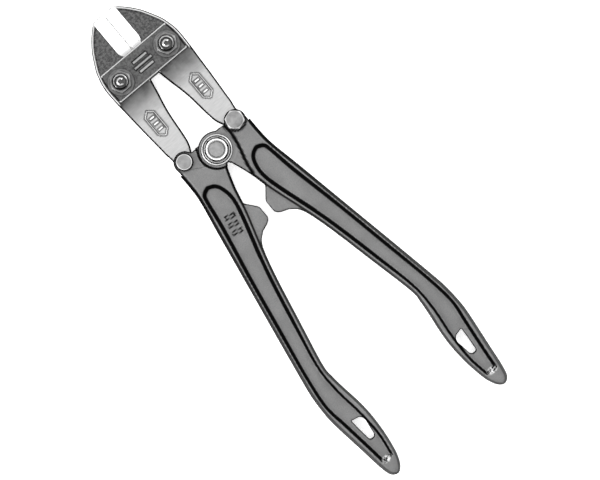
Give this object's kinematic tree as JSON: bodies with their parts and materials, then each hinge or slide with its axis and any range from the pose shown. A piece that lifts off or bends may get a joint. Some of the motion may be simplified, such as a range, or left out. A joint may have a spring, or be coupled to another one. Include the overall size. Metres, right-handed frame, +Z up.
{
  "type": "bolt cutters",
  "caption": "Compact bolt cutters: forged channel handles on a centre bolt drive short jaws held between two link plates; the handles spread and the jaws open through the linkage.",
  "frame": {"origin": "Midway along the length of the tool, under its centre line, on the plane it lies on.", "axes": "+Y points from the handle ends to the jaw tips, +X to the right as seen from the front face, +Z up out of the front face."},
  "size_m": [0.1142, 0.35, 0.0272],
  "materials": {
    "forging_paint": "satin",
    "jaw_steel": "satin",
    "plate_steel": "satin",
    "dark_bolt": "satin",
    "bright_bolt": "satin",
    "shim_brass": "satin"
  },
  "bodies": {
    "left_handle": {"handle_left": "forging_paint", "centre_bolt": "bright_bolt", "centre_nut": "bright_bolt", "centre_washer_front": "bright_bolt", "centre_washer_back": "bright_bolt", "centre_shim": "shim_brass", "fork_pin_left": "bright_bolt", "fork_nut_left": "bright_bolt"},
    "right_handle": {"handle_right": "forging_paint", "fork_pin_right": "bright_bolt", "fork_nut_right": "bright_bolt"},
    "left_jaw": {"jaw_left": "jaw_steel"},
    "right_jaw": {"jaw_right": "jaw_steel"},
    "head": {"link_plate_front": "plate_steel", "link_plate_back": "plate_steel", "head_bolt_left": "dark_bolt", "head_bolt_right": "dark_bolt", "head_washer_left": "dark_bolt", "head_washer_right": "dark_bolt", "head_nut_left": "dark_bolt", "head_nut_right": "dark_bolt"}
  },
  "joints": [
    {"name": "main_pivot", "type": "hinge", "parent": "left_handle", "child": "right_handle", "pos_m": [0, 0.0603, 0.0125], "axis": [0, 0, 1], "range_deg": [0, 80]},
    {"name": "left_fork_pivot", "type": "hinge", "parent": "left_handle", "child": "left_jaw", "pos_m": [-0.0212, 0.0675, 0.0125], "axis": [0, 0, 1], "range_deg": [0, 48.46]},
    {"name": "left_head_pivot", "type": "hinge", "parent": "left_jaw", "child": "head", "pos_m": [-0.0192, 0.1332, 0.0125], "axis": [0, 0, 1], "range_deg": [-8.46, 0]},
    {"name": "right_fork_pivot", "type": "hinge", "parent": "right_handle", "child": "right_jaw", "pos_m": [0.0212, 0.0675, 0.0125], "axis": [0, 0, 1], "range_deg": [-48.46, 0]}
  ],
  "couplings": [
    {"joint": "left_fork_pivot", "follows": "main_pivot", "ratio": 0.6045},
    {"joint": "left_head_pivot", "follows": "main_pivot", "ratio": -0.1045},
    {"joint": "right_fork_pivot", "follows": "main_pivot", "ratio": -0.6045}
  ]
}
